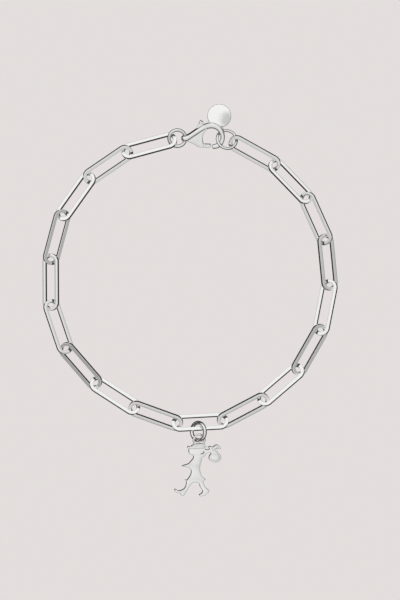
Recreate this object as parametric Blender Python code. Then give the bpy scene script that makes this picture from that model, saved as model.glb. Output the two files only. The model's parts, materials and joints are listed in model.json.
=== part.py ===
"""Silver charm bracelet lying closed on a flat surface.

Metres, Z up, X to the right and Y away as the bracelet is seen from above.
Sizes below are in millimetres and degrees; every piece is placed from them.
"""

from math import copysign, cos, pi, radians, sin

import bmesh
import bpy
from mathutils import Matrix, Vector

MM = 0.001

# Long oval links of square wire
LINK_COUNT = 18
LINK_LENGTH = 11.96
LINK_WIDTH = 3.57
LINK_WIRE = 0.70
LINK_EDGE = 0.11
LINK_LEAN = 24.5
LINK_OVERLAP = 2.36
# Headings of the links, going round from the clasp's tail against the clock
LINK_HEADINGS = [
    196, 215, 235, 255, 270, 288, 310, 326, 339,
    362, 387, 400, 420, 439, 456, 475, 495, 512,
]

# Round jump rings: outer diameter, wire and the two slopes of each ring's plane.
# The overlaps say how far the next link reaches into each ring.
CLASP_RING_DIAMETER = 4.2
CLASP_RING_WIRE = 0.69
CLASP_RING_OVERLAP = 1.95
CLASP_RING_PLAY = 0.09
CLASP_RING_SLOPE_EAST = -0.4
CLASP_RING_SLOPE_NORTH = 18.0
END_RING_DIAMETER = 4.7
END_RING_WIRE = 0.57
END_RING_OVERLAP = 1.82
END_RING_OFFSET = 0.26
END_RING_SLOPE_EAST = -11.9
END_RING_SLOPE_NORTH = -20.6
END_RING_HEIGHT = 1.25
END_RING_PLACE = 6.64
END_RING_SINK = 0.29
CHARM_RING_DIAMETER = 4.50
CHARM_RING_WIRE = 0.80
CHARM_RING_SLOPE_EAST = 42.0
CHARM_RING_SHIFT = -0.36
CHARM_RING_DROP = 0.60

# Lobster clasp
CLASP_LENGTH = 9.07
CLASP_CHEEK_THICKNESS = 1.20
CLASP_SPINE_THICKNESS = 1.46
CLASP_HOOK_THICKNESS = 0.90
CHEEK_EDGE = 0.10
LEVER_EDGE = 0.05
GATE_EDGE = 0.14
TAB_EDGE = 0.10
CLASP_SLOT = 0.56
CLASP_ROLL = 16.5
CLASP_PITCH = 3.1
CLASP_HEIGHT = 1.11
EYE_HOLE = 1.14
EYE_WALL = 0.26
EYE_WIDTH = 0.66
LEVER_THICKNESS = 0.44
GATE_THICKNESS = 0.90
PIN_DIAMETER = 0.60
PIN_GAP = 0.03
PIN_RECESS = 0.02

# Round tag with its loop
TAG_DIAMETER = 4.96
TAG_THICKNESS = 0.56
TAG_EDGE = 0.10
TAG_LOOP_WIRE = 0.32
TAG_LOOP_HOLE = 0.84
TAG_LOOP_ROOT = 0.30
TAG_REACH = 3.27
TAG_HEADING = 104.0
TAG_HELD_AT = 111.0
TAG_LIFT = 0.043

# Charm: a walking traveller with a bundle on a stick
CHARM_HEIGHT = 11.1
CHARM_THICKNESS = 0.94
CHARM_RELIEF = 0.16
CHARM_EDGE = 0.09
CHARM_LOOP_HOLE = 1.90
CHARM_LOOP_RIM = 0.42
CHARM_LOOP_THICKNESS = 0.46
CHARM_LOOP_EDGE = 0.10
CHARM_PITCH = 5.5
CHARM_ROLL = 9.0
CHARM_SHIFT = 0.12
CHARM_PLAY = 0.02

# How finely the round pieces are divided
ARC_STEPS = 9
RING_STEPS = 22
RING_SIDES = 8
DISC_STEPS = 36
BAR_STEPS = 16
BAR_SIDES = 10
TAG_LOOP_STEPS = 6
TAG_LOOP_SIDES = 6


def clear_scene():
    """Take away every object of the start-up file."""
    for item in list(bpy.data.objects):
        bpy.data.objects.remove(item, do_unlink=True)


def silver(name):
    """Make the polished silver of one piece."""
    material = bpy.data.materials.new(name)
    material.use_nodes = True
    shader = material.node_tree.nodes["Principled BSDF"]
    shader.inputs["Base Color"].default_value = (0.87, 0.87, 0.86, 1.0)
    shader.inputs["Metallic"].default_value = 1.0
    shader.inputs["Roughness"].default_value = 0.12
    return material


def stand(item, place):
    """Set where an object stands, from a matrix in millimetres."""
    place = place.copy()
    place.translation *= MM
    item.matrix_world = place


def add_object(name, verts, faces, place):
    """Make a closed mesh object of points in millimetres and set where it stands."""
    mesh = bpy.data.meshes.new(name)
    mesh.from_pydata([tuple(Vector(v) * MM) for v in verts], [], faces)
    mesh.validate()
    tidy = bmesh.new()
    tidy.from_mesh(mesh)
    caps = [face for face in tidy.faces if len(face.verts) > 4]
    bmesh.ops.triangulate(tidy, faces=caps, ngon_method="EAR_CLIP")
    bmesh.ops.recalc_face_normals(tidy, faces=tidy.faces)
    tidy.to_mesh(mesh)
    tidy.free()
    mesh.materials.append(silver(name))
    item = bpy.data.objects.new(name, mesh)
    bpy.context.scene.collection.objects.link(item)
    stand(item, place)
    return item


def combine(item, other, operation):
    """Join another solid to an object or cut it away, then drop the other solid."""
    step = item.modifiers.new("combine", "BOOLEAN")
    step.operation = operation
    step.solver = "EXACT"
    step.object = other
    graph = bpy.context.evaluated_depsgraph_get()
    result = bpy.data.meshes.new_from_object(item.evaluated_get(graph))
    item.modifiers.clear()
    item.data = result
    bpy.data.objects.remove(other, do_unlink=True)
    return item


def corners(item):
    """Corners of an object's mesh where they stand, in metres."""
    return [item.matrix_world @ v.co for v in item.data.vertices]


def set_down(item):
    """Lower or raise an object until it rests on the surface."""
    lowest = min(corner.z for corner in corners(item))
    item.matrix_world = Matrix.Translation((0, 0, -lowest)) @ item.matrix_world


def join_rings(count, sides, closed):
    """Faces of a skin over rings of points; an open skin gets end caps."""
    faces = []
    for ring in range(count if closed else count - 1):
        after = (ring + 1) % count
        for side in range(sides):
            beside = (side + 1) % sides
            faces.append((ring * sides + side, ring * sides + beside,
                          after * sides + beside, after * sides + side))
    if not closed:
        faces.append(tuple(range(sides - 1, -1, -1)))
        faces.append(tuple((count - 1) * sides + side for side in range(sides)))
    return faces


def stadium(length, width, steps):
    """Centre line of an oval with straight sides, as points and outward directions."""
    radius = width / 2
    half = length / 2 - radius
    points = []
    for end in (1, -1):
        for step in range(steps + 1):
            turn = -pi / 2 + pi * step / steps + (0 if end == 1 else pi)
            points.append((end * half + radius * cos(turn), radius * sin(turn), turn))
    return points


def square_section(side, edge):
    """Corners of a square wire with its edges taken off."""
    far = side / 2
    near = far - edge
    return [(far, -near), (far, near), (near, far), (-near, far),
            (-far, near), (-far, -near), (-near, -far), (near, -far)]


def round_section(diameter, sides):
    """Corners of a round wire."""
    radius = diameter / 2
    return [(radius * cos(2 * pi * (k + 0.5) / sides), radius * sin(2 * pi * (k + 0.5) / sides))
            for k in range(sides)]


def loop_solid(name, path, section, place):
    """Solid of a closed wire: the section is carried round the path."""
    verts = []
    for x, y, turn in path:
        for out, up in section:
            verts.append((x + out * cos(turn), y + out * sin(turn), up))
    return add_object(name, verts, join_rings(len(path), len(section), True), place)


def circle_path(diameter, steps):
    """Centre line of a round ring."""
    radius = diameter / 2
    return [(radius * cos(2 * pi * k / steps), radius * sin(2 * pi * k / steps), 2 * pi * k / steps)
            for k in range(steps)]


def tilted_plane(slope_east, slope_north):
    """Turn of a flat ring whose plane climbs by these angles toward east and north."""
    east = sin(radians(slope_east)) / cos(radians(slope_east))
    north = sin(radians(slope_north)) / cos(radians(slope_north))
    normal = Vector((-east, -north, 1)).normalized()
    return Vector((0, 0, 1)).rotation_difference(normal).to_matrix().to_4x4()


def ring_solid(name, diameter, wire, turn, centre):
    """A closed round ring of round wire."""
    path = circle_path(diameter - wire, RING_STEPS)
    place = Matrix.Translation(centre) @ turn
    return loop_solid(name, path, round_section(wire, RING_SIDES), place)


def heading_vector(degrees):
    """Unit direction on the surface for a heading."""
    return Vector((cos(radians(degrees)), sin(radians(degrees)), 0))


def closing_headings(start, finish, pitch):
    """Bend the chosen headings by the least amount that makes the chain meet both ends."""
    headings = [radians(h) for h in LINK_HEADINGS[:LINK_COUNT]]
    for _ in range(12):
        reach_x = start.x + sum(pitch * cos(h) for h in headings)
        reach_y = start.y + sum(pitch * sin(h) for h in headings)
        miss_x = finish.x - reach_x
        miss_y = finish.y - reach_y
        side = [(-pitch * sin(h), pitch * cos(h)) for h in headings]
        xx = sum(s[0] * s[0] for s in side)
        yy = sum(s[1] * s[1] for s in side)
        xy = sum(s[0] * s[1] for s in side)
        size = xx * yy - xy * xy
        pull_x = (yy * miss_x - xy * miss_y) / size
        pull_y = (xx * miss_y - xy * miss_x) / size
        headings = [h + s[0] * pull_x + s[1] * pull_y for h, s in zip(headings, side)]
    return [h * 180 / pi for h in headings]


def link_place(centre, heading, inner_raised):
    """Where a leaning link lies: long axis along the heading, one side raised."""
    lean = radians(LINK_LEAN if inner_raised else -LINK_LEAN)
    turn = Matrix.Rotation(radians(heading), 4, "Z") @ Matrix.Rotation(lean, 4, "X")
    return Matrix.Translation(centre) @ turn


def link_axis_height():
    """Height of a leaning link's middle above the surface."""
    lean = radians(LINK_LEAN)
    half = LINK_WIRE / 2
    corner = max(half * cos(lean) + (half - LINK_EDGE) * sin(lean),
                 (half - LINK_EDGE) * cos(lean) + half * sin(lean))
    return (LINK_WIDTH - LINK_WIRE) / 2 * sin(lean) + corner


def build_links(start, finish):
    """All links of the chain, from the clasp ring round to the end ring."""
    pitch = LINK_LENGTH - LINK_OVERLAP
    path = stadium(LINK_LENGTH - LINK_WIRE, LINK_WIDTH - LINK_WIRE, ARC_STEPS)
    section = square_section(LINK_WIRE, LINK_EDGE)
    centres = []
    joint = Vector((start.x, start.y, link_axis_height()))
    for number, heading in enumerate(closing_headings(start, finish, pitch), 1):
        ahead = heading_vector(heading) * pitch
        centre = joint + ahead / 2
        place = link_place(centre, heading, number % 2 == 1)
        loop_solid("link_%02d" % number, path, section, place)
        centres.append(centre)
        joint = joint + ahead
    return centres


# A smooth line's pull at a point, at most this share of the way to the next point
LONGEST_PULL = 1.2


def smooth_line(points, steps, closed):
    """Curve through chosen points; a point with a third value stays a sharp corner."""
    count = len(points)
    line = []
    for k in range(count if closed else count - 1):
        here = points[k]
        after = points[(k + 1) % count]
        before = points[k - 1] if (closed or k > 0) else here
        later = points[(k + 2) % count] if (closed or k + 2 < count) else after
        a = Vector(here[:2])
        b = Vector(after[:2])
        leave = (b - a) if len(here) > 2 else (b - Vector(before[:2])) / 2
        arrive = (b - a) if len(after) > 2 else (Vector(later[:2]) - a) / 2
        limit = (b - a).length * LONGEST_PULL
        leave = leave.normalized() * min(leave.length, limit)
        arrive = arrive.normalized() * min(arrive.length, limit)
        for step in range(steps):
            t = step / steps
            line.append(a * (2 * t ** 3 - 3 * t ** 2 + 1) + b * (3 * t ** 2 - 2 * t ** 3)
                        + leave * (t ** 3 - 2 * t ** 2 + t) + arrive * (t ** 3 - t ** 2))
    if not closed:
        line.append(Vector(points[-1][:2]))
    return line


# Where a plate is thin its edge takes no more than one of this many shares of the room
THIN_SHARES = 3


def room_inside(outline, k, inward, amount):
    """Distance from one point of an outline, going in, to the far side of a thin place."""
    count = len(outline)
    room = amount * THIN_SHARES
    for step in range(2, count - 2):
        start = outline[(k + step) % count]
        span = outline[(k + step + 1) % count] - start
        along = max(0, min(1, (outline[k] - start).dot(span) / span.length_squared))
        across = start + span * along - outline[k]
        if across.length < room and across.dot(inward) > 0.3 * across.length:
            room = across.length
    return room


def inset(outline, amount):
    """Draw a closed outline in along its own normals; the outline runs against the clock."""
    count = len(outline)
    drawn = []
    for k in range(count):
        along = (outline[(k + 1) % count] - outline[k]).normalized()
        before = (outline[k] - outline[k - 1]).normalized()
        inward = Vector((-(along.y + before.y), along.x + before.x)).normalized()
        share = room_inside(outline, k, inward, amount) / THIN_SHARES
        drawn.append(outline[k] + inward * min(amount, share))
    return drawn


def against_clock(outline):
    """The same outline, turned round if it runs with the clock."""
    area = sum(outline[k - 1].x * outline[k].y - outline[k].x * outline[k - 1].y
               for k in range(len(outline)))
    return outline if area > 0 else outline[::-1]


def plate(name, outline, bottom, top, edge, place):
    """Flat plate with its edges taken off above and below."""
    outline = against_clock(outline)
    narrow = inset(outline, edge)
    count = len(outline)
    verts = []
    for line, height in ((narrow, bottom), (outline, bottom + edge),
                         (outline, top - edge), (narrow, top)):
        verts += [(p.x, p.y, height) for p in line]
    return add_object(name, verts, join_rings(4, count, False), place)


def block(name, low, high, place):
    """Plain box between two corners, used as a cutter."""
    verts = [(x, y, z) for x in (low[0], high[0]) for y in (low[1], high[1]) for z in (low[2], high[2])]
    faces = [(0, 1, 3, 2), (4, 6, 7, 5), (0, 4, 5, 1), (2, 3, 7, 6), (0, 2, 6, 4), (1, 5, 7, 3)]
    return add_object(name, verts, faces, place)


def cylinder(name, diameter, low, high, turn, place):
    """Plain round bar along its own Z, turned and then placed."""
    verts = [(x, y, height) for height in (low, high) for x, y in round_section(diameter, BAR_STEPS)]
    return add_object(name, verts, join_rings(2, BAR_STEPS, False), place @ turn)


# The clasp lies in its own frame: X toward the hook, Y toward the spine, origin in the tail's eye
CLASP_SPINE = [
    # along, across, width, share of the way from the hook's thickness to the spine's
    (-0.80, -0.02, 0.56, -0.2), (-0.68, -0.02, 0.98, 0.7), (-0.36, -0.01, 1.24, 1.45),
    (0.00, 0.00, 1.30, 1.62), (0.45, 0.12, 1.28, 1.55), (1.18, 0.58, 1.18, 1.6),
    (2.23, 1.28, 1.20, 1.7), (3.28, 1.98, 1.20, 1.5),
    (4.33, 2.50, 1.18, 0.8), (5.38, 2.72, 1.26, 0.0), (6.38, 2.56, 1.22, 0.0), (7.25, 1.90, 1.08, 0.0),
    (7.74, 0.95, 0.94, 0.0), (7.84, 0.00, 0.92, 0.0), (7.55, -0.92, 0.98, 0.0), (6.88, -1.60, 1.02, 0.0),
    (6.05, -1.80, 0.98, 0.0), (5.60, -1.90, 0.74, -0.26),
]
CLASP_CHEEK = [
    (0.10, -0.62), (0.76, -0.72), (1.50, -1.03), (2.23, -1.48), (3.05, -1.84), (3.80, -1.92, 1),
    (3.76, -1.12), (3.64, -0.60), (3.64, 0.10), (3.82, 0.90), (4.26, 1.60), (4.70, 1.98, 1),
    (4.33, 2.50), (3.28, 2.00), (2.23, 1.30), (1.18, 0.60), (0.20, 0.30, 1),
]
CLASP_LEVER = [
    (5.28, -1.26, 1), (5.30, -1.78), (5.02, -2.00), (4.10, -1.98), (3.10, -1.78), (2.20, -1.10),
    (1.98, -0.20), (2.10, 1.00), (2.38, 2.05), (3.20, 3.86, 1), (3.84, 3.50, 1), (3.68, 2.40),
    (3.46, 1.20), (3.44, 0.00), (3.50, -0.72), (3.86, -1.14), (4.40, -1.22),
]
# The thick ends of the lever: the gate that closes the hook, and the thumb tab
CLASP_GATE = [(5.26, -1.27, 1), (5.28, -1.76), (5.00, -1.97), (4.10, -1.95, 1), (4.10, -1.23, 1)]
CLASP_TAB = [(2.92, 3.14, 1), (3.19, 3.83, 1), (3.82, 3.48, 1), (3.70, 3.10, 1)]
CLASP_PIVOT = (2.75, -0.05)
CLASP_SLOT_ENDS = (1.15, 4.25)
CLASP_DRAWN_LENGTH = 9.07
# A length that passes right through any piece, for cutters
THROUGH = 8.0
FLAT = Matrix.Identity(4)
ON_EDGE = Matrix.Rotation(pi / 2, 4, "X")


def clasp_scale():
    """How much larger the clasp is than the drawn one."""
    return CLASP_LENGTH / CLASP_DRAWN_LENGTH


def clasp_line(points, steps):
    """Smooth closed outline of a part of the clasp, at the clasp's size."""
    scale = clasp_scale()
    return smooth_line([(p[0] * scale, p[1] * scale) + tuple(p[2:]) for p in points], steps, True)


def clasp_pivot():
    """Place of the lever's pivot in the clasp's own frame."""
    return Matrix.Translation((CLASP_PIVOT[0] * clasp_scale(), CLASP_PIVOT[1] * clasp_scale(), 0))


def full_oval(sides):
    """Corners of an oval with full shoulders, one unit in half width and half height."""
    fullness = 0.75
    section = []
    for side in range(sides):
        angle = 2 * pi * (side + 0.5) / sides
        section.append((copysign(abs(cos(angle)) ** fullness, cos(angle)),
                        copysign(abs(sin(angle)) ** fullness, sin(angle))))
    return section


def bar_solid(name, stations, place):
    """Solid bar along a curve whose width and thickness change along it."""
    section = full_oval(BAR_SIDES)
    line = smooth_line([(s[0], s[1]) for s in stations], 2, False)
    size = smooth_line([(s[2], s[3]) for s in stations], 2, False)
    verts = []
    for k, point in enumerate(line):
        before = line[max(k - 1, 0)]
        after = line[min(k + 1, len(line) - 1)]
        along = (after - before).normalized()
        for out, up in section:
            reach = out * size[k].x / 2
            verts.append((point.x - along.y * reach, point.y + along.x * reach, up * size[k].y / 2))
    return add_object(name, verts, join_rings(len(line), len(section), False), place)


def clasp_frame(eye):
    """Turn and place of the clasp, which leans on the ring and tag under its hook."""
    pitch = Matrix.Rotation(-radians(CLASP_PITCH), 4, "Y")
    roll = Matrix.Rotation(radians(CLASP_ROLL), 4, "X")
    return Matrix.Translation(eye) @ pitch @ roll


def build_clasp(eye):
    """Body, lever and rivet of the lobster clasp."""
    place = clasp_frame(eye)
    build_clasp_body(place)
    build_lever(place)
    reach = CLASP_CHEEK_THICKNESS / 2 - PIN_RECESS
    cylinder("clasp_pin", PIN_DIAMETER, -reach, reach, FLAT, place @ clasp_pivot())


def build_clasp_body(place):
    """Hook, spine and slotted cheeks in one solid, with an eye in the tail."""
    scale = clasp_scale()
    extra = CLASP_SPINE_THICKNESS - CLASP_HOOK_THICKNESS
    spine = [(along * scale, across * scale, width * scale, CLASP_HOOK_THICKNESS + extra * share)
             for along, across, width, share in CLASP_SPINE]
    body = bar_solid("clasp_body", spine, FLAT)
    half = CLASP_CHEEK_THICKNESS / 2
    combine(body, plate("cheek", clasp_line(CLASP_CHEEK, 2), -half, half, CHEEK_EDGE, FLAT), "UNION")
    half_eye = EYE_WIDTH / 2
    combine(body, cylinder("eye", EYE_HOLE + 2 * EYE_WALL, -half_eye, half_eye, ON_EDGE, FLAT), "UNION")
    combine(body, cylinder("eye_hole", EYE_HOLE, -THROUGH, THROUGH, ON_EDGE, FLAT), "DIFFERENCE")
    gap = CLASP_SLOT / 2
    near, far = (end * scale for end in CLASP_SLOT_ENDS)
    combine(body, block("slot", (near, -THROUGH, -gap), (far, THROUGH, gap), FLAT), "DIFFERENCE")
    hole = PIN_DIAMETER + 2 * PIN_GAP
    combine(body, cylinder("pin_hole", hole, -THROUGH, THROUGH, FLAT, clasp_pivot()), "DIFFERENCE")
    stand(body, place)


def build_lever(place):
    """Lever of the clasp: thin in the slot, thicker at its gate and its thumb tab."""
    thin = LEVER_THICKNESS / 2
    thick = GATE_THICKNESS / 2
    from_pivot = clasp_pivot().inverted()
    lever = plate("clasp_lever", clasp_line(CLASP_LEVER, 2), -thin, thin, LEVER_EDGE, FLAT)
    combine(lever, plate("gate", clasp_line(CLASP_GATE, 2), -thick, thick, GATE_EDGE, FLAT), "UNION")
    combine(lever, plate("tab", clasp_line(CLASP_TAB, 1), -thick, thick, TAB_EDGE, FLAT), "UNION")
    hole = PIN_DIAMETER + 2 * PIN_GAP
    combine(lever, cylinder("lever_hole", hole, -THROUGH, THROUGH, FLAT, clasp_pivot()), "DIFFERENCE")
    from_pivot.translation *= MM
    lever.data.transform(from_pivot)
    stand(lever, place @ clasp_pivot())


def build_tag(ring_turn, ring_centre):
    """Round tag whose upright loop is held by the end ring."""
    held_from = heading_vector(TAG_HELD_AT) * (END_RING_DIAMETER - END_RING_WIRE) / 2
    held = ring_centre + ring_turn @ held_from + Vector((0, 0, TAG_LIFT))
    droop = Matrix.Rotation((held.z - TAG_THICKNESS / 2) / (TAG_REACH + TAG_DIAMETER / 2), 4, "Y")
    disc = TAG_DIAMETER / 2
    outline = [Vector((TAG_REACH + x, y)) for x, y in round_section(TAG_DIAMETER, DISC_STEPS)]
    half = TAG_THICKNESS / 2
    tag = plate("tag", outline, -half, half, TAG_EDGE, FLAT)
    near = (TAG_LOOP_HOLE + TAG_LOOP_WIRE) / 2
    length = TAG_REACH - disc + TAG_LOOP_ROOT + near
    path = stadium(length, TAG_LOOP_HOLE + TAG_LOOP_WIRE, TAG_LOOP_STEPS)
    middle = Matrix.Translation((length / 2 - near, 0, 0))
    loop = loop_solid("tag_loop", path, round_section(TAG_LOOP_WIRE, TAG_LOOP_SIDES), middle @ ON_EDGE)
    combine(tag, loop, "UNION")
    stand(tag, Matrix.Translation(held) @ Matrix.Rotation(radians(TAG_HEADING), 4, "Z") @ droop)


# The charm lies in its own frame: X to the figure's right, Y up, origin in the middle of its loop
CHARM_OUTLINE = [
    (0.95, -0.86), (1.36, -1.22), (1.44, -1.62), (1.20, -1.86), (1.62, -2.02), (2.10, -1.98),
    (2.16, -1.78), (1.86, -1.52, 1), (2.56, -1.36), (2.92, -1.52), (3.36, -1.16), (3.80, -1.08),
    (4.30, -1.40), (4.50, -1.92), (3.82, -1.90), (3.40, -2.06), (3.86, -2.56), (4.44, -3.20), (4.64, -3.80),
    (4.34, -4.44), (3.40, -4.76), (2.50, -4.52), (2.06, -3.90), (2.18, -3.36), (2.50, -2.76), (2.10, -2.60),
    (1.50, -2.82), (1.16, -3.34), (0.62, -3.62), (0.46, -4.40), (0.24, -5.10), (0.12, -5.90), (0.34, -7.10),
    (0.66, -7.76), (1.34, -8.34, 1), (0.84, -8.70), (0.92, -9.10), (1.18, -9.74), (1.64, -10.30),
    (2.10, -10.78), (1.52, -11.40), (0.98, -11.76), (0.00, -11.60), (0.40, -11.34), (0.74, -10.90),
    (0.26, -10.02), (-0.16, -9.02), (-0.70, -8.84), (-1.34, -8.94), (-1.76, -9.24), (-2.54, -10.42),
    (-2.94, -11.12), (-3.60, -11.66), (-4.14, -11.00), (-4.70, -11.00), (-5.16, -10.26), (-4.40, -10.56),
    (-3.64, -10.44), (-3.00, -9.96), (-2.74, -9.10), (-2.74, -8.72), (-3.06, -8.26, 1), (-2.62, -8.36),
    (-2.20, -7.90), (-1.84, -7.30), (-1.68, -6.50), (-1.92, -5.96), (-2.24, -5.74), (-3.66, -5.34, 1),
    (-3.04, -5.14), (-2.24, -4.88), (-1.66, -4.28), (-1.24, -3.70), (-1.30, -3.16), (-1.86, -3.00),
    (-2.10, -2.70), (-2.22, -2.30), (-2.16, -1.86), (-2.46, -1.52), (-2.40, -1.30), (-1.80, -1.30),
    (-1.44, -1.02), (-0.90, -0.84),
]
CHARM_DRAWN_HEIGHT = 11.1
CHARM_GAP = [(0.16, -2.30), (0.34, -1.96), (0.80, -2.08), (1.04, -2.46), (0.78, -2.86), (0.28, -2.84)]
CHARM_RAISED = {
    "cap": [(-2.20, -1.46), (-1.20, -1.16), (0.00, -1.10), (0.90, -1.16), (1.16, -1.46), (0.10, -1.72),
            (-1.20, -1.76)],
    "bundle": [(2.80, -2.90), (3.50, -2.70), (4.06, -3.24), (4.28, -3.80), (4.02, -4.24), (3.38, -4.44),
               (2.70, -4.22), (2.36, -3.80)],
    "knot": [(3.04, -1.76), (3.60, -1.40), (4.04, -1.60), (3.30, -1.86), (2.90, -2.30), (2.60, -1.80),
             (2.50, -1.60)],
}


def charm_scale():
    """How much larger the figure is than the drawn one."""
    return CHARM_HEIGHT / CHARM_DRAWN_HEIGHT


def charm_lines(points, steps):
    """Smooth closed outline of a part of the charm, at the charm's size."""
    scale = charm_scale()
    return smooth_line([(p[0] * scale, p[1] * scale) + tuple(p[2:]) for p in points], steps, True)


def build_charm(ring_centre):
    """Flat cast figure with its loop, leaning up to the ring that holds it, its left side higher."""
    half = CHARM_THICKNESS / 2
    charm = plate("charm", charm_lines(CHARM_OUTLINE, 2), -half, half, CHARM_EDGE, FLAT)
    cutter = plate("elbow_gap", charm_lines(CHARM_GAP, 2), -THROUGH, THROUGH, CHARM_EDGE, FLAT)
    combine(charm, cutter, "DIFFERENCE")
    for name, raised in CHARM_RAISED.items():
        pad = plate(name, charm_lines(raised, 2), -half / 2, half + CHARM_RELIEF, CHARM_EDGE, FLAT)
        combine(charm, pad, "UNION")
    tall = CHARM_LOOP_THICKNESS / CHARM_LOOP_RIM
    rim = [(out, up * tall) for out, up in square_section(CHARM_LOOP_RIM, CHARM_LOOP_EDGE)]
    loop = loop_solid("loop", circle_path(CHARM_LOOP_HOLE + CHARM_LOOP_RIM, RING_STEPS), rim, FLAT)
    combine(charm, loop, "UNION")
    reach = (CHARM_RING_DIAMETER - CHARM_RING_WIRE) / 2
    middle = Vector((ring_centre.x + CHARM_SHIFT, ring_centre.y - reach + CHARM_PLAY, 0))
    roll = Matrix.Rotation(radians(CHARM_ROLL), 4, "Y")
    stand(charm, Matrix.Translation(middle) @ Matrix.Rotation(radians(CHARM_PITCH), 4, "X") @ roll)
    set_down(charm)


def build_charm_ring(link_centre):
    """Jump ring round the raised side of the middle link of the lower run."""
    turn = tilted_plane(CHARM_RING_SLOPE_EAST, 0)
    side = (LINK_WIDTH - LINK_WIRE) / 2 * cos(radians(LINK_LEAN))
    centre = Vector((link_centre.x + CHARM_RING_SHIFT, link_centre.y - side - CHARM_RING_DROP, 0))
    ring = ring_solid("charm_ring", CHARM_RING_DIAMETER, CHARM_RING_WIRE, turn, centre)
    set_down(ring)
    return centre


def build_bracelet():
    """Place the clasp, hang the rings on it and close the chain between them."""
    eye = Vector((0, 0, CLASP_HEIGHT))
    build_clasp(eye)
    ring_radius = (CLASP_RING_DIAMETER - CLASP_RING_WIRE) / 2
    ring_turn = tilted_plane(CLASP_RING_SLOPE_EAST, CLASP_RING_SLOPE_NORTH)
    ring_centre = eye + ring_turn @ Vector((CLASP_RING_PLAY - ring_radius, 0, 0))
    ring_solid("clasp_ring", CLASP_RING_DIAMETER, CLASP_RING_WIRE, ring_turn, ring_centre)
    end_radius = (END_RING_DIAMETER - END_RING_WIRE) / 2
    end_turn = tilted_plane(END_RING_SLOPE_EAST, END_RING_SLOPE_NORTH)
    end_centre = Vector((END_RING_PLACE * clasp_scale() + end_radius, -END_RING_SINK, END_RING_HEIGHT))
    ring_solid("end_ring", END_RING_DIAMETER, END_RING_WIRE, end_turn, end_centre)
    build_tag(end_turn, end_centre)
    first = heading_vector(LINK_HEADINGS[0])
    last = heading_vector(LINK_HEADINGS[LINK_COUNT - 1])
    reach = CLASP_RING_DIAMETER / 2 - CLASP_RING_OVERLAP + LINK_OVERLAP / 2
    start = ring_centre + first * reach
    reach = END_RING_DIAMETER / 2 - END_RING_OVERLAP + LINK_OVERLAP / 2
    finish = end_centre - last * reach + Vector((last.y, -last.x, 0)) * END_RING_OFFSET
    centres = build_links(start, finish)
    build_charm(build_charm_ring(centres[LINK_COUNT // 2]))


def centre_on_surface():
    """Put the middle of everything over the origin, resting at height zero."""
    points = [corner for item in bpy.data.objects for corner in corners(item)]
    x = (min(p.x for p in points) + max(p.x for p in points)) / 2
    y = (min(p.y for p in points) + max(p.y for p in points)) / 2
    z = min(p.z for p in points)
    for item in bpy.data.objects:
        item.matrix_world = Matrix.Translation((-x, -y, -z)) @ item.matrix_world


clear_scene()
build_bracelet()
centre_on_surface()
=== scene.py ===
"""Looks of the silver charm bracelet: fine shapes, polished finish, table, studio and camera.

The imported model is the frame. Every piece below is modelled at its own size in
millimetres, then moved to where its node of the frame lies.
"""

import json
from math import atan2, cos, pi, radians, sin

import bpy
import numpy as np
from mathutils import Matrix, Vector


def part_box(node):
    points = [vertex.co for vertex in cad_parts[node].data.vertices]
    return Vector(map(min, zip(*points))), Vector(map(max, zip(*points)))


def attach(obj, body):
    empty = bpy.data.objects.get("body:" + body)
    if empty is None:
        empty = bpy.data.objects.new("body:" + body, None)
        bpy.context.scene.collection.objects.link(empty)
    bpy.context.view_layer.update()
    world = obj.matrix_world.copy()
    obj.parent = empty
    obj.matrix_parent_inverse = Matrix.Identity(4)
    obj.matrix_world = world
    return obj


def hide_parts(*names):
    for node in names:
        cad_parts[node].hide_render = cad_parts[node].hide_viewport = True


MM = 0.001

# Colour sockets of a Mix node, which has like names for each kind of value
COLOUR_A = 6
COLOUR_B = 7
COLOUR_OUT = 2

# Points closer than this are one point
MERGE = 0.002
# Edges that turn by more degrees than this stay sharp
CREASE = 35
PLATE_CREASE = 30
SPINE_CREASE = 60
# Edges that turn by more degrees than this are rounded
ROUND_FROM = 50

# Photograph: rows, millimetres to a pixel, and the spot of the frame under its middle
PHOTO_ROWS = 600
MM_PER_PIXEL = 0.21
FRAME_TALL = PHOTO_ROWS * MM_PER_PIXEL
LOOK_AT = (2.08, -0.01)
LENS = 135.0
SENSOR = 36.0
NEAREST_SEEN = 0.01

# Links of square wire
LINK_LENGTH = 11.96
LINK_WIDTH = 3.57
LINK_WIRE = 0.70
LINK_EDGE = 0.045
LINK_EDGE_STEPS = 3
LINK_STEPS = 72

# Round rings: outer diameter and wire
RINGS = {"clasp_ring": (4.20, 0.69), "end_ring": (4.70, 0.57), "charm_ring": (4.50, 0.80)}
RING_STEPS = 96
RING_SIDES = 28

# Round bars, and plates cut to an outline
BAR_STEPS = 64
OUTLINE_STEPS = 5
PLATE_EDGE_STEPS = 3

# Lobster clasp; the fullness widens the shoulders of the spine's round section
CLASP_CHEEK = 1.20
CHEEK_EDGE = 0.10
SPINE_SIDES = 16
SPINE_FULLNESS = 1.10
SPINE_STEPS = 2
SPINE_SMOOTHING = 2
CLASP_SLOT = 0.56
SLOT_ENDS = (1.15, 4.25)
EYE_HOLE = 1.14
EYE_WALL = 0.26
EYE_WIDTH = 0.66
LEVER = 0.44
LEVER_EDGE = 0.05
GATE = 0.90
GATE_EDGE = 0.09
TAB_EDGE = 0.10
PIN = 0.60
PIN_GAP = 0.03
PIN_FIT = 0.004
PIVOT = (2.75, -0.05)

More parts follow.
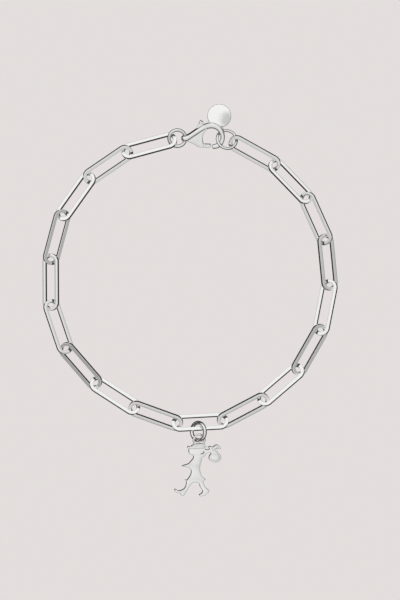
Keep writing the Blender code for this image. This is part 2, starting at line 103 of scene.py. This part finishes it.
# Round tag
TAG_DIAMETER = 4.96
TAG_THICKNESS = 0.56
TAG_STEPS = 128
TAG_EDGE = 0.14
TAG_EDGE_STEPS = 4
TAG_CROWN = 0.18
TAG_CROWN_STEPS = 9
TAG_REACH = 3.27
TAG_LOOP_WIRE = 0.32
TAG_LOOP_HOLE = 0.84
TAG_LOOP_ROOT = 0.30
TAG_LOOP_STEPS = 48
LOOP_SIDES = 16
TAG_HEADING = 104.0

# Charm
CHARM_THICKNESS = 0.94
CHARM_RELIEF = 0.16
CHARM_EDGE = 0.10
PAD_EDGE = 0.14
GAP_EDGE = 0.02
CHARM_LOOP_HOLE = 1.90
CHARM_LOOP_RIM = 0.42
CHARM_LOOP_THICKNESS = 0.46
CHARM_LOOP_STEPS = 64
CHARM_PITCH = 5.5
CHARM_ROLL = 9.0

# A length that passes right through any piece, for cutters
THROUGH = 4.0

# Silver: bright and duller places of the polish, as values of the marks' noise
BRIGHT_BELOW = 0.35
DULL_ABOVE = 0.75
DULL_ROUGHNESS = 1.4
DULL_TONE = 0.97
WARMTH = 0.01
# Size of the polish waves and wiping marks as noise scale, and their height in metres
WAVE_SIZE = 900.0
WAVE_HEIGHT = 0.0002
MARK_SIZE = 6000.0
MARK_HEIGHT = 0.00003
# Finish of each kind of piece: depth of the waves, depth of the marks, brightness, roughness
LINK_FINISH = (0.05, 0.02, 0.94, 0.07)
RING_FINISH = (0.06, 0.02, 0.88, 0.06)
CLASP_FINISH = (0.08, 0.015, 0.93, 0.08)
LEVER_FINISH = (0.08, 0.015, 0.93, 0.08)
TAG_FINISH = (0.10, 0.010, 0.94, 0.08)
CHARM_FINISH = (0.05, 0.015, 0.95, 0.12)

# Table as the camera sees it, and as the polished metal sees it, where it is painted shade, near
# black, just under the lowest point
TABLE_SIZE = 1.2
TABLE_DROP = 0.04
TABLE_COLOUR = (0.772, 0.734, 0.722, 1)
# Painted shade: the colour the metal reflects in place of the pale table
TABLE_PAINTED_SHADE_IN_METAL = (0.035, 0.031, 0.029, 1)

# Studio around the metal: height of the direction (0 level, 1 straight up), brightness
SKY_BANDS = [
    (0.00, 0.03), (0.24, 0.04), (0.40, 0.34), (0.53, 0.60),
    (0.66, 0.66), (0.80, 0.69), (0.93, 0.85), (1.00, 0.88),
]
# Patches of the studio: heading from X toward Y, height, reach and soft edge in degrees,
# and brightness
PATCHES = [
    (106.0, 41.0, 52.0, 14.0, 0.95),
    (219.0, 41.0, 7.0, 7.0, 0.33),
    (345.0, 41.0, 15.0, 9.0, 0.44),
    (24.0, 75.0, 11.0, 8.0, 0.60),
]
# The patches fade out between these heights of the direction
PATCH_LOW = (0.22, 0.46)

# Spine of the clasp, from the tail along the ridge and round the hook:
# along, across, width, thickness
SPINE_LINE = [
    (-0.80, -0.02, 0.56, 0.79), (-0.68, -0.02, 0.98, 1.29), (-0.36, -0.01, 1.24, 1.71),
    (0.00, 0.00, 1.30, 1.81), (0.45, 0.12, 1.28, 1.77), (1.18, 0.58, 1.18, 1.80),
    (2.23, 1.28, 1.20, 1.85), (3.28, 1.98, 1.20, 1.74), (4.33, 2.50, 1.18, 1.35),
    (5.38, 2.72, 1.26, 0.90), (6.38, 2.56, 1.22, 0.90), (7.25, 1.90, 1.08, 0.90),
    (7.74, 0.95, 0.94, 0.90), (7.84, 0.00, 0.92, 0.90), (7.55, -0.92, 0.98, 0.90),
    (6.88, -1.60, 1.02, 0.90), (6.05, -1.80, 0.98, 0.90), (5.60, -1.90, 0.74, 0.76),
]
# Outlines; a point with a third value is a sharp corner
CHEEK_LINE = [
    (0.10, -0.62), (0.76, -0.72), (1.50, -1.03), (2.23, -1.48), (3.05, -1.84), (3.80, -1.92, 1),
    (3.76, -1.12), (3.64, -0.60), (3.64, 0.10), (3.82, 0.90), (4.26, 1.60), (4.70, 1.98, 1),
    (4.33, 2.50), (3.28, 2.00), (2.23, 1.30), (1.18, 0.60), (0.20, 0.30, 1),
]
LEVER_LINE = [
    (5.28, -1.26, 1), (5.30, -1.78), (5.02, -2.00), (4.10, -1.98), (3.10, -1.78), (2.20, -1.10),
    (1.98, -0.20), (2.10, 1.00), (2.38, 2.05), (3.20, 3.86, 1), (3.84, 3.50, 1), (3.68, 2.40),
    (3.46, 1.20), (3.44, 0.00), (3.50, -0.72), (3.86, -1.14), (4.40, -1.22),
]
GATE_LINE = [(5.26, -1.27, 1), (5.28, -1.76), (5.00, -1.97), (4.10, -1.95, 1), (4.10, -1.23, 1)]
TAB_LINE = [(2.92, 3.14, 1), (3.19, 3.83, 1), (3.82, 3.48, 1), (3.70, 3.10, 1)]
# Figure of the charm, hanging down from its loop at the origin
FIGURE_LINE = [
    (0.95, -0.86), (1.36, -1.22), (1.44, -1.62), (1.20, -1.86), (1.62, -2.02),
    (2.10, -1.98), (2.16, -1.78), (1.86, -1.52, 1), (2.56, -1.36), (2.92, -1.52),
    (3.36, -1.16), (3.80, -1.08), (4.30, -1.40), (4.50, -1.92), (3.82, -1.90),
    (3.40, -2.06), (3.86, -2.56), (4.44, -3.20), (4.64, -3.80), (4.34, -4.44),
    (3.40, -4.76), (2.50, -4.52), (2.06, -3.90), (2.18, -3.36), (2.50, -2.76),
    (2.10, -2.60), (1.50, -2.82), (1.16, -3.34), (0.62, -3.62), (0.46, -4.40),
    (0.24, -5.10), (0.12, -5.90), (0.34, -7.10), (0.66, -7.76), (1.34, -8.34, 1),
    (0.84, -8.70), (0.92, -9.10), (1.18, -9.74), (1.64, -10.30), (2.10, -10.78),
    (1.52, -11.40), (0.98, -11.76), (0.00, -11.60), (0.40, -11.34), (0.74, -10.90),
    (0.26, -10.02), (-0.16, -9.02), (-0.70, -8.84), (-1.34, -8.94), (-1.76, -9.24),
    (-2.54, -10.42), (-2.94, -11.12), (-3.60, -11.66), (-4.14, -11.00), (-4.70, -11.00),
    (-5.16, -10.26), (-4.40, -10.56), (-3.64, -10.44), (-3.00, -9.96), (-2.74, -9.10),
    (-2.74, -8.72), (-3.06, -8.26, 1), (-2.62, -8.36), (-2.20, -7.90), (-1.84, -7.30),
    (-1.68, -6.50), (-1.92, -5.96), (-2.24, -5.74), (-3.66, -5.34, 1), (-3.04, -5.14),
    (-2.24, -4.88), (-1.66, -4.28), (-1.24, -3.70), (-1.30, -3.16), (-1.86, -3.00),
    (-2.10, -2.70), (-2.22, -2.30), (-2.16, -1.86), (-2.46, -1.52), (-2.40, -1.30),
    (-1.80, -1.30), (-1.44, -1.02), (-0.90, -0.84),
]
ELBOW_GAP = [
    (0.16, -2.30), (0.34, -1.96), (0.80, -2.08), (1.04, -2.46), (0.78, -2.86),
    (0.28, -2.84),
]
# Raised parts of the figure
FIGURE_RELIEF = {
    "cap": [(-2.20, -1.46), (-1.20, -1.16), (0.00, -1.10), (0.90, -1.16), (1.16, -1.46),
            (0.10, -1.72), (-1.20, -1.76)],
    "bundle": [(2.80, -2.90), (3.50, -2.70), (4.06, -3.24), (4.28, -3.80), (4.02, -4.24),
               (3.38, -4.44), (2.70, -4.22), (2.36, -3.80)],
    "knot": [(3.04, -1.76), (3.60, -1.40), (4.04, -1.60), (3.30, -1.86), (2.90, -2.30),
             (2.60, -1.80), (2.50, -1.60)],
}


def only(piece):
    """Select one object and nothing else."""
    bpy.ops.object.select_all(action="DESELECT")
    piece.select_set(True)
    bpy.context.view_layer.objects.active = piece


def pick(piece, wanted, mode="VERT"):
    """Open edit mode with just the points or faces that are wanted."""
    only(piece)
    bpy.ops.object.mode_set(mode="EDIT")
    bpy.ops.mesh.select_mode(type=mode)
    bpy.ops.mesh.select_all(action="DESELECT")
    bpy.ops.object.mode_set(mode="OBJECT")
    for part in piece.data.vertices if mode == "VERT" else piece.data.polygons:
        part.select = wanted(part)
    bpy.ops.object.mode_set(mode="EDIT")


def close_edit():
    """Leave edit mode."""
    bpy.ops.object.mode_set(mode="OBJECT")


def finish_with(piece, kind, **settings):
    """Add a modifier and apply it."""
    only(piece)
    step = piece.modifiers.new(kind.lower(), kind)
    for name, value in settings.items():
        setattr(step, name, value)
    bpy.ops.object.modifier_apply(modifier=step.name)


def join_solid(piece, other, operation):
    """Unite another solid with a piece, or cut it away."""
    finish_with(piece, "BOOLEAN", operation=operation, object=other, solver="EXACT")
    bpy.data.objects.remove(other, do_unlink=True)


def smooth(piece, angle=CREASE):
    """Merge what touches and shade smooth, with creases kept sharp."""
    only(piece)
    bpy.ops.object.mode_set(mode="EDIT")
    bpy.ops.mesh.select_all(action="SELECT")
    bpy.ops.mesh.remove_doubles(threshold=MERGE * MM)
    bpy.ops.mesh.normals_make_consistent(inside=False)
    close_edit()
    bpy.ops.object.shade_smooth_by_angle(angle=radians(angle))


def stretch(piece, half):
    """Pull a ring apart along X into an oval with straight sides."""
    for side in (1, -1):
        pick(piece, lambda point: point.co.x * side > 0)
        bpy.ops.transform.translate(value=(side * half * MM, 0, 0))
        close_edit()


def bar_of(name, diameter, length, turn=(0, 0, 0), place=(0, 0, 0), steps=BAR_STEPS):
    """Round bar standing on its own axis."""
    bpy.ops.object.select_all(action="DESELECT")
    bpy.ops.mesh.primitive_cylinder_add(
        vertices=steps, radius=diameter / 2 * MM, depth=length * MM,
        location=Vector(place) * MM, rotation=turn)
    bar = bpy.context.active_object
    bar.name = name
    bpy.ops.object.transform_apply(location=True, rotation=True, scale=True)
    return bar


def plate_of(name, outline, thickness, edge):
    """Plate with rounded edges cut to a smooth closed outline."""
    drawing = bpy.data.curves.new(name, "CURVE")
    drawing.dimensions = "2D"
    drawing.fill_mode = "BOTH"
    drawing.extrude = (thickness / 2 - edge) * MM
    drawing.bevel_depth = edge * MM
    drawing.bevel_resolution = PLATE_EDGE_STEPS
    drawing.offset = -edge * MM
    drawing.resolution_u = OUTLINE_STEPS
    line = drawing.splines.new("BEZIER")
    line.bezier_points.add(len(outline) - 1)
    line.use_cyclic_u = True
    for corner, point in zip(outline, line.bezier_points):
        point.co = Vector((corner[0], corner[1], 0)) * MM
        kind = "VECTOR" if len(corner) > 2 else "AUTO"
        point.handle_left_type = kind
        point.handle_right_type = kind
    item = bpy.data.objects.new(name, drawing)
    bpy.context.scene.collection.objects.link(item)
    only(item)
    bpy.ops.object.convert(target="MESH")
    plate = bpy.context.active_object
    smooth(plate, PLATE_CREASE)
    return plate


def between(stations, steps):
    """More stations on the smooth curve through the given ones."""
    line = []
    last = len(stations) - 1
    for k in range(last):
        four = [Vector(stations[min(max(k + j, 0), last)]) for j in (-1, 0, 1, 2)]
        for step in range(steps):
            t = step / steps
            line.append(tuple(four[1] + (four[2] - four[0]) * t / 2
                              + (2 * four[0] - 5 * four[1] + 4 * four[2] - four[3]) * t * t / 2
                              + (3 * four[1] - four[0] - 3 * four[2] + four[3]) * t ** 3 / 2))
    return line + [stations[-1]]


def drawn_bar(name, stations, sides, fullness):
    """Bar drawn out from a flat start: at each station it is moved, turned and resized."""
    along, across, width, thick = stations[0]
    heading = atan2(stations[1][1] - across, stations[1][0] - along)
    radius = width / 2 / cos(pi / sides) * MM
    centre = Vector((along, across, 0)) * MM
    bpy.ops.object.select_all(action="DESELECT")
    bpy.ops.mesh.primitive_circle_add(
        vertices=sides, radius=radius, fill_type="NGON",
        location=centre, rotation=(pi / 2, 0, heading + pi / 2))
    bar = bpy.context.active_object
    bar.name = name
    bar.data.transform(Matrix.Rotation(pi / sides, 4, "Z"))
    pick(bar, lambda point: min(abs(point.co.x), abs(point.co.y)) > radius / 2)
    bpy.ops.transform.resize(value=(fullness, fullness, fullness), center_override=centre)
    close_edit()
    bpy.ops.object.transform_apply(location=True, rotation=True, scale=True)
    bpy.ops.object.mode_set(mode="EDIT")
    bpy.ops.mesh.select_all(action="SELECT")
    bpy.ops.transform.resize(value=(1, 1, thick / width), center_override=centre)
    for k in range(1, len(stations)):
        here = stations[k]
        before = stations[k - 1]
        after = stations[min(k + 1, len(stations) - 1)]
        centre = Vector((here[0], here[1], 0)) * MM
        ahead = atan2(after[1] - before[1], after[0] - before[0])
        bend = (ahead - heading + pi) % (2 * pi) - pi
        widen = here[2] / before[2]
        thicken = here[3] / before[3] / widen
        bpy.ops.mesh.extrude_region_move(TRANSFORM_OT_translate={
            "value": ((here[0] - before[0]) * MM, (here[1] - before[1]) * MM, 0)})
        bpy.ops.transform.rotate(value=-bend, orient_axis="Z", center_override=centre)
        bpy.ops.transform.resize(value=(widen, widen, widen * thicken), center_override=centre)
        heading = ahead
    close_edit()
    smooth(bar, SPINE_CREASE)
    return bar


def crown(piece, radius, height, steps):
    """Dome the round face on top of a piece with rings of smaller and smaller faces."""
    top = max(point.co.z for point in piece.data.vertices)
    pick(piece, lambda face: face.center.z > top - MERGE * MM, "FACE")
    for k in range(steps):
        before = 1 - (1 - k / steps) ** 2
        after = 1 - (1 - (k + 1) / steps) ** 2
        thickness = radius / (steps + 1) * MM
        bpy.ops.mesh.inset(thickness=thickness, depth=height * (after - before) * MM)
    close_edit()


def finish_piece(piece, name, place, material, body, *nodes):
    """Put a modelled piece where its node lies and let it stand for that node."""
    piece.name = name
    piece.data.name = name
    piece.data.transform(place)
    piece.data.materials.clear()
    piece.data.materials.append(material)
    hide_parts(*nodes)
    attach(piece, body)


def copy_of(piece):
    """Copy of a finished shape, with a mesh of its own."""
    double = piece.copy()
    double.data = piece.data.copy()
    bpy.context.scene.collection.objects.link(double)
    return double


def lie_of(node):
    """Middle and turn of a flat node of the frame: long way along X, thin way along Z."""
    points = np.array([v.co for v in frame["nodes"][node].data.vertices])
    low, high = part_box(node)
    spread, axes = np.linalg.eigh(np.cov((points - points.mean(0)).T))
    upright = Vector(axes[:, 0])
    if upright.z < 0:
        upright = -upright
    long_way = Vector(axes[:, 2])
    across = upright.cross(long_way)
    turn = Matrix((long_way, across, upright)).transposed().to_4x4()
    return Matrix.Translation((low + high) / 2) @ turn


def settle(piece, place, node):
    """Place of a piece with a known turn, so that its box has the same middle as its node's."""
    points = [place @ v.co for v in piece.data.vertices]
    low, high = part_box(node)
    middle = (low + high) / 2
    own = [(min(p[k] for p in points) + max(p[k] for p in points)) / 2 for k in range(3)]
    return Matrix.Translation(middle - Vector(own)) @ place


def polish_group():
    """Hand polish: soft waves and fine wiping marks as a normal, and a mask of duller places."""
    group = bpy.data.node_groups.new("hand_polish", "ShaderNodeTree")
    for name in ("Wave Depth", "Mark Depth"):
        group.interface.new_socket(name, in_out="INPUT", socket_type="NodeSocketFloat")
    group.interface.new_socket("Normal", in_out="OUTPUT", socket_type="NodeSocketVector")
    group.interface.new_socket("Dull", in_out="OUTPUT", socket_type="NodeSocketFloat")
    nodes = group.nodes
    link = group.links.new
    given = nodes.new("NodeGroupInput")
    out = nodes.new("NodeGroupOutput")
    where = nodes.new("ShaderNodeTexCoord")
    waves = nodes.new("ShaderNodeTexNoise")
    waves.inputs["Scale"].default_value = WAVE_SIZE
    waves.inputs["Detail"].default_value = 1.0
    marks = nodes.new("ShaderNodeTexNoise")
    marks.inputs["Scale"].default_value = MARK_SIZE
    marks.inputs["Detail"].default_value = 3.0
    link(where.outputs["Object"], waves.inputs["Vector"])
    link(where.outputs["Object"], marks.inputs["Vector"])
    bump_waves = nodes.new("ShaderNodeBump")
    bump_waves.inputs["Distance"].default_value = WAVE_HEIGHT
    bump_marks = nodes.new("ShaderNodeBump")
    bump_marks.inputs["Distance"].default_value = MARK_HEIGHT
    link(waves.outputs["Fac"], bump_waves.inputs["Height"])
    link(marks.outputs["Fac"], bump_marks.inputs["Height"])
    link(given.outputs["Wave Depth"], bump_waves.inputs["Strength"])
    link(given.outputs["Mark Depth"], bump_marks.inputs["Strength"])
    link(bump_waves.outputs["Normal"], bump_marks.inputs["Normal"])
    link(bump_marks.outputs["Normal"], out.inputs["Normal"])
    link(marks.outputs["Fac"], out.inputs["Dull"])
    return group


def silver(name, polish, waves, marks, bright, rough):
    """Silver with its own depth of polish waves and wiping marks."""
    material = bpy.data.materials.new(name)
    material.use_nodes = True
    nodes = material.node_tree.nodes
    link = material.node_tree.links.new
    shader = nodes["Principled BSDF"]
    shader.inputs["Metallic"].default_value = 1.0
    finish = nodes.new("ShaderNodeGroup")
    finish.node_tree = polish
    finish.inputs["Wave Depth"].default_value = waves
    finish.inputs["Mark Depth"].default_value = marks
    tone = nodes.new("ShaderNodeMix")
    tone.data_type = "RGBA"
    dull = bright * DULL_TONE
    tone.inputs[COLOUR_A].default_value = (bright, bright, bright * (1 - WARMTH), 1)
    tone.inputs[COLOUR_B].default_value = (dull, dull, dull - bright * WARMTH, 1)
    gloss = nodes.new("ShaderNodeMapRange")
    gloss.inputs["From Min"].default_value = BRIGHT_BELOW
    gloss.inputs["From Max"].default_value = DULL_ABOVE
    gloss.inputs["To Min"].default_value = rough
    gloss.inputs["To Max"].default_value = rough * DULL_ROUGHNESS
    link(finish.outputs["Dull"], tone.inputs["Factor"])
    link(finish.outputs["Dull"], gloss.inputs["Value"])
    link(tone.outputs[COLOUR_OUT], shader.inputs["Base Color"])
    link(gloss.outputs["Result"], shader.inputs["Roughness"])
    link(finish.outputs["Normal"], shader.inputs["Normal"])
    return material


def make_links(material):
    """One link of square wire, then a copy for each link of the chain."""
    bpy.ops.object.select_all(action="DESELECT")
    bpy.ops.mesh.primitive_cylinder_add(
        vertices=LINK_STEPS, radius=(LINK_WIDTH - LINK_WIRE) / 2 * MM, depth=LINK_WIRE * MM,
        end_fill_type="NOTHING", rotation=(0, 0, pi / LINK_STEPS))
    link = bpy.context.active_object
    bpy.ops.object.transform_apply(location=True, rotation=True, scale=True)
    stretch(link, (LINK_LENGTH - LINK_WIDTH) / 2)
    finish_with(link, "SOLIDIFY", thickness=LINK_WIRE * MM, offset=0, use_even_offset=True)
    finish_with(link, "BEVEL", width=LINK_EDGE * MM, segments=LINK_EDGE_STEPS,
                limit_method="ANGLE", angle_limit=radians(ROUND_FROM))
    smooth(link)
    names = sorted(name for name in frame["nodes"] if name.startswith("link_"))
    for name in names:
        piece = copy_of(link)
        finish_piece(piece, "fine_" + name, lie_of(name), material, "bracelet", name)
    bpy.data.objects.remove(link, do_unlink=True)


def ring_of(outer, wire, steps, sides):
    """Round ring of round wire, lying flat at the origin."""
    bpy.ops.object.select_all(action="DESELECT")
    bpy.ops.mesh.primitive_torus_add(
        major_segments=steps, minor_segments=sides,
        major_radius=(outer - wire) / 2 * MM, minor_radius=wire / 2 * MM)
    ring = bpy.context.active_object
    bpy.ops.object.shade_smooth()
    return ring


def make_rings(material):
    """The jump rings."""
    for name, (outer, wire) in RINGS.items():
        ring = ring_of(outer, wire, RING_STEPS, RING_SIDES)
        finish_piece(ring, "fine_" + name, lie_of(name), material, "bracelet", name)


def clasp_place():
    """Place of the clasp's own frame: eye at the origin, X toward the hook, Y toward the spine."""
    hinge = frame["joints"][0]
    upright = Vector(hinge["axis"]).normalized()
    forward = Vector((upright.z, 0, -upright.x)).normalized()
    across = upright.cross(forward)
    turn = Matrix((forward, across, upright)).transposed().to_4x4()
    to_eye = Matrix.Translation(-Vector((PIVOT[0], PIVOT[1], 0)) * MM)
    return Matrix.Translation(Vector(hinge["pos_m"])) @ turn @ to_eye


def make_clasp(material):
    """Body of the clasp: hook and spine, cheeks with a slot, and the eye in the tail."""
    body = drawn_bar("clasp_body", between(SPINE_LINE, SPINE_STEPS), SPINE_SIDES, SPINE_FULLNESS)
    finish_with(body, "SUBSURF", levels=SPINE_SMOOTHING, render_levels=SPINE_SMOOTHING)
    join_solid(body, plate_of("cheeks", CHEEK_LINE, CLASP_CHEEK, CHEEK_EDGE), "UNION")
    on_edge = (pi / 2, 0, 0)
    join_solid(body, bar_of("eye", EYE_HOLE + 2 * EYE_WALL, EYE_WIDTH, on_edge), "UNION")
    join_solid(body, bar_of("eye_hole", EYE_HOLE, THROUGH, on_edge), "DIFFERENCE")
    near, far = SLOT_ENDS
    bpy.ops.mesh.primitive_cube_add(size=MM, location=((near + far) / 2 * MM, 0, 0),
                                    scale=(far - near, 4 * THROUGH, CLASP_SLOT))
    slot = bpy.context.active_object
    bpy.ops.object.transform_apply(location=True, rotation=True, scale=True)
    join_solid(body, slot, "DIFFERENCE")
    rivet_hole = bar_of("rivet_hole", PIN + 2 * PIN_FIT, THROUGH, place=(*PIVOT, 0))
    join_solid(body, rivet_hole, "DIFFERENCE")
    smooth(body)
    finish_piece(body, "fine_clasp_body", clasp_place(), material, "bracelet", "clasp_body")


def make_rivet(material):
    """Rivet of the clasp, polished level with the cheeks."""
    rivet = bar_of("rivet", PIN, CLASP_CHEEK - PIN_FIT, place=(*PIVOT, 0))
    smooth(rivet)
    finish_piece(rivet, "fine_clasp_pin", clasp_place(), material, "bracelet", "clasp_pin")


def make_lever(material):
    """Lever of the clasp: a thin plate with a thick gate and thumb tab."""
    lever = plate_of("lever", LEVER_LINE, LEVER, LEVER_EDGE)
    join_solid(lever, plate_of("gate", GATE_LINE, GATE, GATE_EDGE), "UNION")
    join_solid(lever, plate_of("tab", TAB_LINE, GATE, TAB_EDGE), "UNION")
    lever_hole = bar_of("lever_hole", PIN + 2 * PIN_GAP, THROUGH, place=(*PIVOT, 0))
    join_solid(lever, lever_hole, "DIFFERENCE")
    smooth(lever)
    finish_piece(lever, "fine_clasp_lever", clasp_place(), material, "lever", "clasp_lever")


def make_tag(material):
    """Round blank tag with its upright loop."""
    tag = bar_of("tag", TAG_DIAMETER, TAG_THICKNESS - TAG_CROWN / 2, steps=TAG_STEPS)
    finish_with(tag, "BEVEL", width=TAG_EDGE * MM, segments=TAG_EDGE_STEPS,
                limit_method="ANGLE", angle_limit=radians(ROUND_FROM))
    crown(tag, TAG_DIAMETER / 2 - TAG_EDGE, TAG_CROWN, TAG_CROWN_STEPS)
    tag.data.transform(Matrix.Translation((TAG_REACH * MM, 0, 0)))
    near = (TAG_LOOP_HOLE + TAG_LOOP_WIRE) / 2
    length = TAG_REACH - TAG_DIAMETER / 2 + TAG_LOOP_ROOT + near
    loop = ring_of(TAG_LOOP_HOLE + 2 * TAG_LOOP_WIRE, TAG_LOOP_WIRE, TAG_LOOP_STEPS, LOOP_SIDES)
    loop.data.transform(Matrix.Rotation(pi / TAG_LOOP_STEPS, 4, "Z"))
    stretch(loop, length / 2 - near)
    middle = Matrix.Translation(((length / 2 - near) * MM, 0, 0))
    loop.data.transform(middle @ Matrix.Rotation(pi / 2, 4, "X"))
    join_solid(tag, loop, "UNION")
    smooth(tag)
    lean = lie_of("tag").to_3x3() @ Vector((0, 0, 1))
    heading = Matrix.Rotation(radians(TAG_HEADING), 4, "Z")
    droop = Vector((0, 0, 1)).rotation_difference(lean).to_matrix().to_4x4()
    place = settle(tag, droop @ heading, "tag")
    finish_piece(tag, "fine_tag", place, material, "bracelet", "tag")


def make_charm(material):
    """Flat cast figure of a walking traveller with a bundle on a stick."""
    charm = plate_of("charm", FIGURE_LINE, CHARM_THICKNESS, CHARM_EDGE)
    join_solid(charm, plate_of("elbow_gap", ELBOW_GAP, THROUGH, GAP_EDGE), "DIFFERENCE")
    thick = CHARM_THICKNESS / 2 + CHARM_RELIEF
    for name, outline in FIGURE_RELIEF.items():
        relief = plate_of(name, outline, thick, PAD_EDGE)
        relief.data.transform(Matrix.Translation((0, 0, thick / 2 * MM)))
        join_solid(charm, relief, "UNION")
    loop = ring_of(CHARM_LOOP_HOLE + 2 * CHARM_LOOP_RIM, CHARM_LOOP_RIM,
                   CHARM_LOOP_STEPS, LOOP_SIDES)
    loop.data.transform(Matrix.Diagonal((1, 1, CHARM_LOOP_THICKNESS / CHARM_LOOP_RIM, 1)))
    join_solid(charm, loop, "UNION")
    smooth(charm)
    roll = Matrix.Rotation(radians(CHARM_ROLL), 4, "Y")
    place = settle(charm, Matrix.Rotation(radians(CHARM_PITCH), 4, "X") @ roll, "charm")
    finish_piece(charm, "fine_charm", place, material, "bracelet", "charm")


def make_table():
    """Plain pale table. The polished metal sees it darker than the camera does: its reflection is
    painted shade.
    """
    bpy.ops.mesh.primitive_plane_add(size=TABLE_SIZE, location=(0, 0, -TABLE_DROP * MM))
    table = bpy.context.active_object
    table.name = "table"
    material = bpy.data.materials.new("pale_table_painted_shade")
    material.use_nodes = True
    nodes = material.node_tree.nodes
    link = material.node_tree.links.new
    nodes.clear()
    pale = nodes.new("ShaderNodeEmission")
    pale.inputs["Color"].default_value = TABLE_COLOUR
    # Painted shade: glossy rays see this near-black table instead of the pale one
    dark = nodes.new("ShaderNodeEmission")
    dark.inputs["Color"].default_value = TABLE_PAINTED_SHADE_IN_METAL
    light = nodes.new("ShaderNodeLightPath")
    mix = nodes.new("ShaderNodeMixShader")
    out = nodes.new("ShaderNodeOutputMaterial")
    link(light.outputs["Is Glossy Ray"], mix.inputs["Fac"])
    link(pale.outputs["Emission"], mix.inputs[1])
    link(dark.outputs["Emission"], mix.inputs[2])
    link(mix.outputs["Shader"], out.inputs["Surface"])
    table.data.materials.append(material)


def soft_patch(world, where, under, heading, height, reach, edge, bright):
    """Lay one soft round patch of light or dark over the studio's brightness."""
    nodes = world.node_tree.nodes
    link = world.node_tree.links.new
    toward = Vector((cos(radians(heading)) * cos(radians(height)),
                     sin(radians(heading)) * cos(radians(height)), sin(radians(height))))
    near = nodes.new("ShaderNodeVectorMath")
    near.operation = "DOT_PRODUCT"
    near.inputs[1].default_value = toward
    mask = nodes.new("ShaderNodeMapRange")
    mask.interpolation_type = "SMOOTHSTEP"
    mask.inputs["From Min"].default_value = cos(radians(reach + edge))
    mask.inputs["From Max"].default_value = cos(radians(max(reach - edge, 0)))
    lay = nodes.new("ShaderNodeMix")
    lay.data_type = "RGBA"
    lay.inputs[COLOUR_B].default_value = (bright, bright, bright, 1)
    height_of = nodes.new("ShaderNodeSeparateXYZ")
    low = nodes.new("ShaderNodeMapRange")
    low.interpolation_type = "SMOOTHSTEP"
    low.inputs["From Min"].default_value = PATCH_LOW[0]
    low.inputs["From Max"].default_value = PATCH_LOW[1]
    share = nodes.new("ShaderNodeMath")
    share.operation = "MULTIPLY"
    link(where.outputs["Generated"], near.inputs[0])
    link(where.outputs["Generated"], height_of.inputs["Vector"])
    link(near.outputs["Value"], mask.inputs["Value"])
    link(height_of.outputs["Z"], low.inputs["Value"])
    link(mask.outputs["Result"], share.inputs[0])
    link(low.outputs["Result"], share.inputs[1])
    link(share.outputs["Value"], lay.inputs["Factor"])
    link(under, lay.inputs[COLOUR_A])
    return lay.outputs[COLOUR_OUT]


def studio():
    """Soft studio seen by the metal: dark low down, pale above, brightest to the north."""
    world = bpy.data.worlds.new("studio")
    bpy.context.scene.world = world
    world.use_nodes = True
    nodes = world.node_tree.nodes
    link = world.node_tree.links.new
    nodes.clear()
    where = nodes.new("ShaderNodeTexCoord")
    parts = nodes.new("ShaderNodeSeparateXYZ")
    bands = nodes.new("ShaderNodeValToRGB")
    bands.color_ramp.interpolation = "B_SPLINE"
    for k, (height, bright) in enumerate(SKY_BANDS):
        stop = bands.color_ramp.elements[k] if k < 2 else bands.color_ramp.elements.new(height)
        stop.position = height
        stop.color = (bright, bright, bright, 1)
    link(where.outputs["Generated"], parts.inputs["Vector"])
    link(parts.outputs["Z"], bands.inputs["Fac"])
    colour = bands.outputs["Color"]
    for heading, height, reach, edge, bright in PATCHES:
        colour = soft_patch(world, where, colour, heading, height, reach, edge, bright)
    seen = nodes.new("ShaderNodeBackground")
    metal = nodes.new("ShaderNodeBackground")
    seen.inputs["Color"].default_value = TABLE_COLOUR
    link(colour, metal.inputs["Color"])
    rays = nodes.new("ShaderNodeLightPath")
    mix = nodes.new("ShaderNodeMixShader")
    out = nodes.new("ShaderNodeOutputWorld")
    link(rays.outputs["Is Camera Ray"], mix.inputs["Fac"])
    link(metal.outputs["Background"], mix.inputs[1])
    link(seen.outputs["Background"], mix.inputs[2])
    link(mix.outputs["Shader"], out.inputs["Surface"])


def camera():
    """Long lens looking straight down on the bracelet, framed as in the photograph."""
    bpy.ops.object.camera_add(rotation=(0, 0, 0), location=(
        LOOK_AT[0] * MM, LOOK_AT[1] * MM, FRAME_TALL * MM * LENS / SENSOR))
    eye = bpy.context.active_object
    eye.data.lens = LENS
    eye.data.sensor_width = SENSOR
    eye.data.clip_start = NEAREST_SEEN
    bpy.context.scene.camera = eye


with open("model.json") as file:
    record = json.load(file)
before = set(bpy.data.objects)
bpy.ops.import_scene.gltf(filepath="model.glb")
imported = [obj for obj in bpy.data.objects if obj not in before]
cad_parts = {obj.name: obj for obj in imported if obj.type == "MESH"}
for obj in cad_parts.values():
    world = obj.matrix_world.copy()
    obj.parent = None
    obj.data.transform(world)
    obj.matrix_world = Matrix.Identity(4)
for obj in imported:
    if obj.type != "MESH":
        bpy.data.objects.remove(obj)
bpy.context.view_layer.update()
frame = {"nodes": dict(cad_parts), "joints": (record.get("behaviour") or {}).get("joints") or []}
bpy.context.scene.view_settings.view_transform = "Standard"
bpy.context.scene.view_settings.look = "None"
camera()
studio()
make_table()
polish = polish_group()
make_links(silver("link_silver", polish, *LINK_FINISH))
make_rings(silver("ring_silver", polish, *RING_FINISH))
clasp_silver = silver("clasp_silver", polish, *CLASP_FINISH)
make_clasp(clasp_silver)
make_rivet(clasp_silver)
make_lever(silver("lever_silver", polish, *LEVER_FINISH))
make_tag(silver("tag_silver", polish, *TAG_FINISH))
make_charm(silver("charm_silver", polish, *CHARM_FINISH))
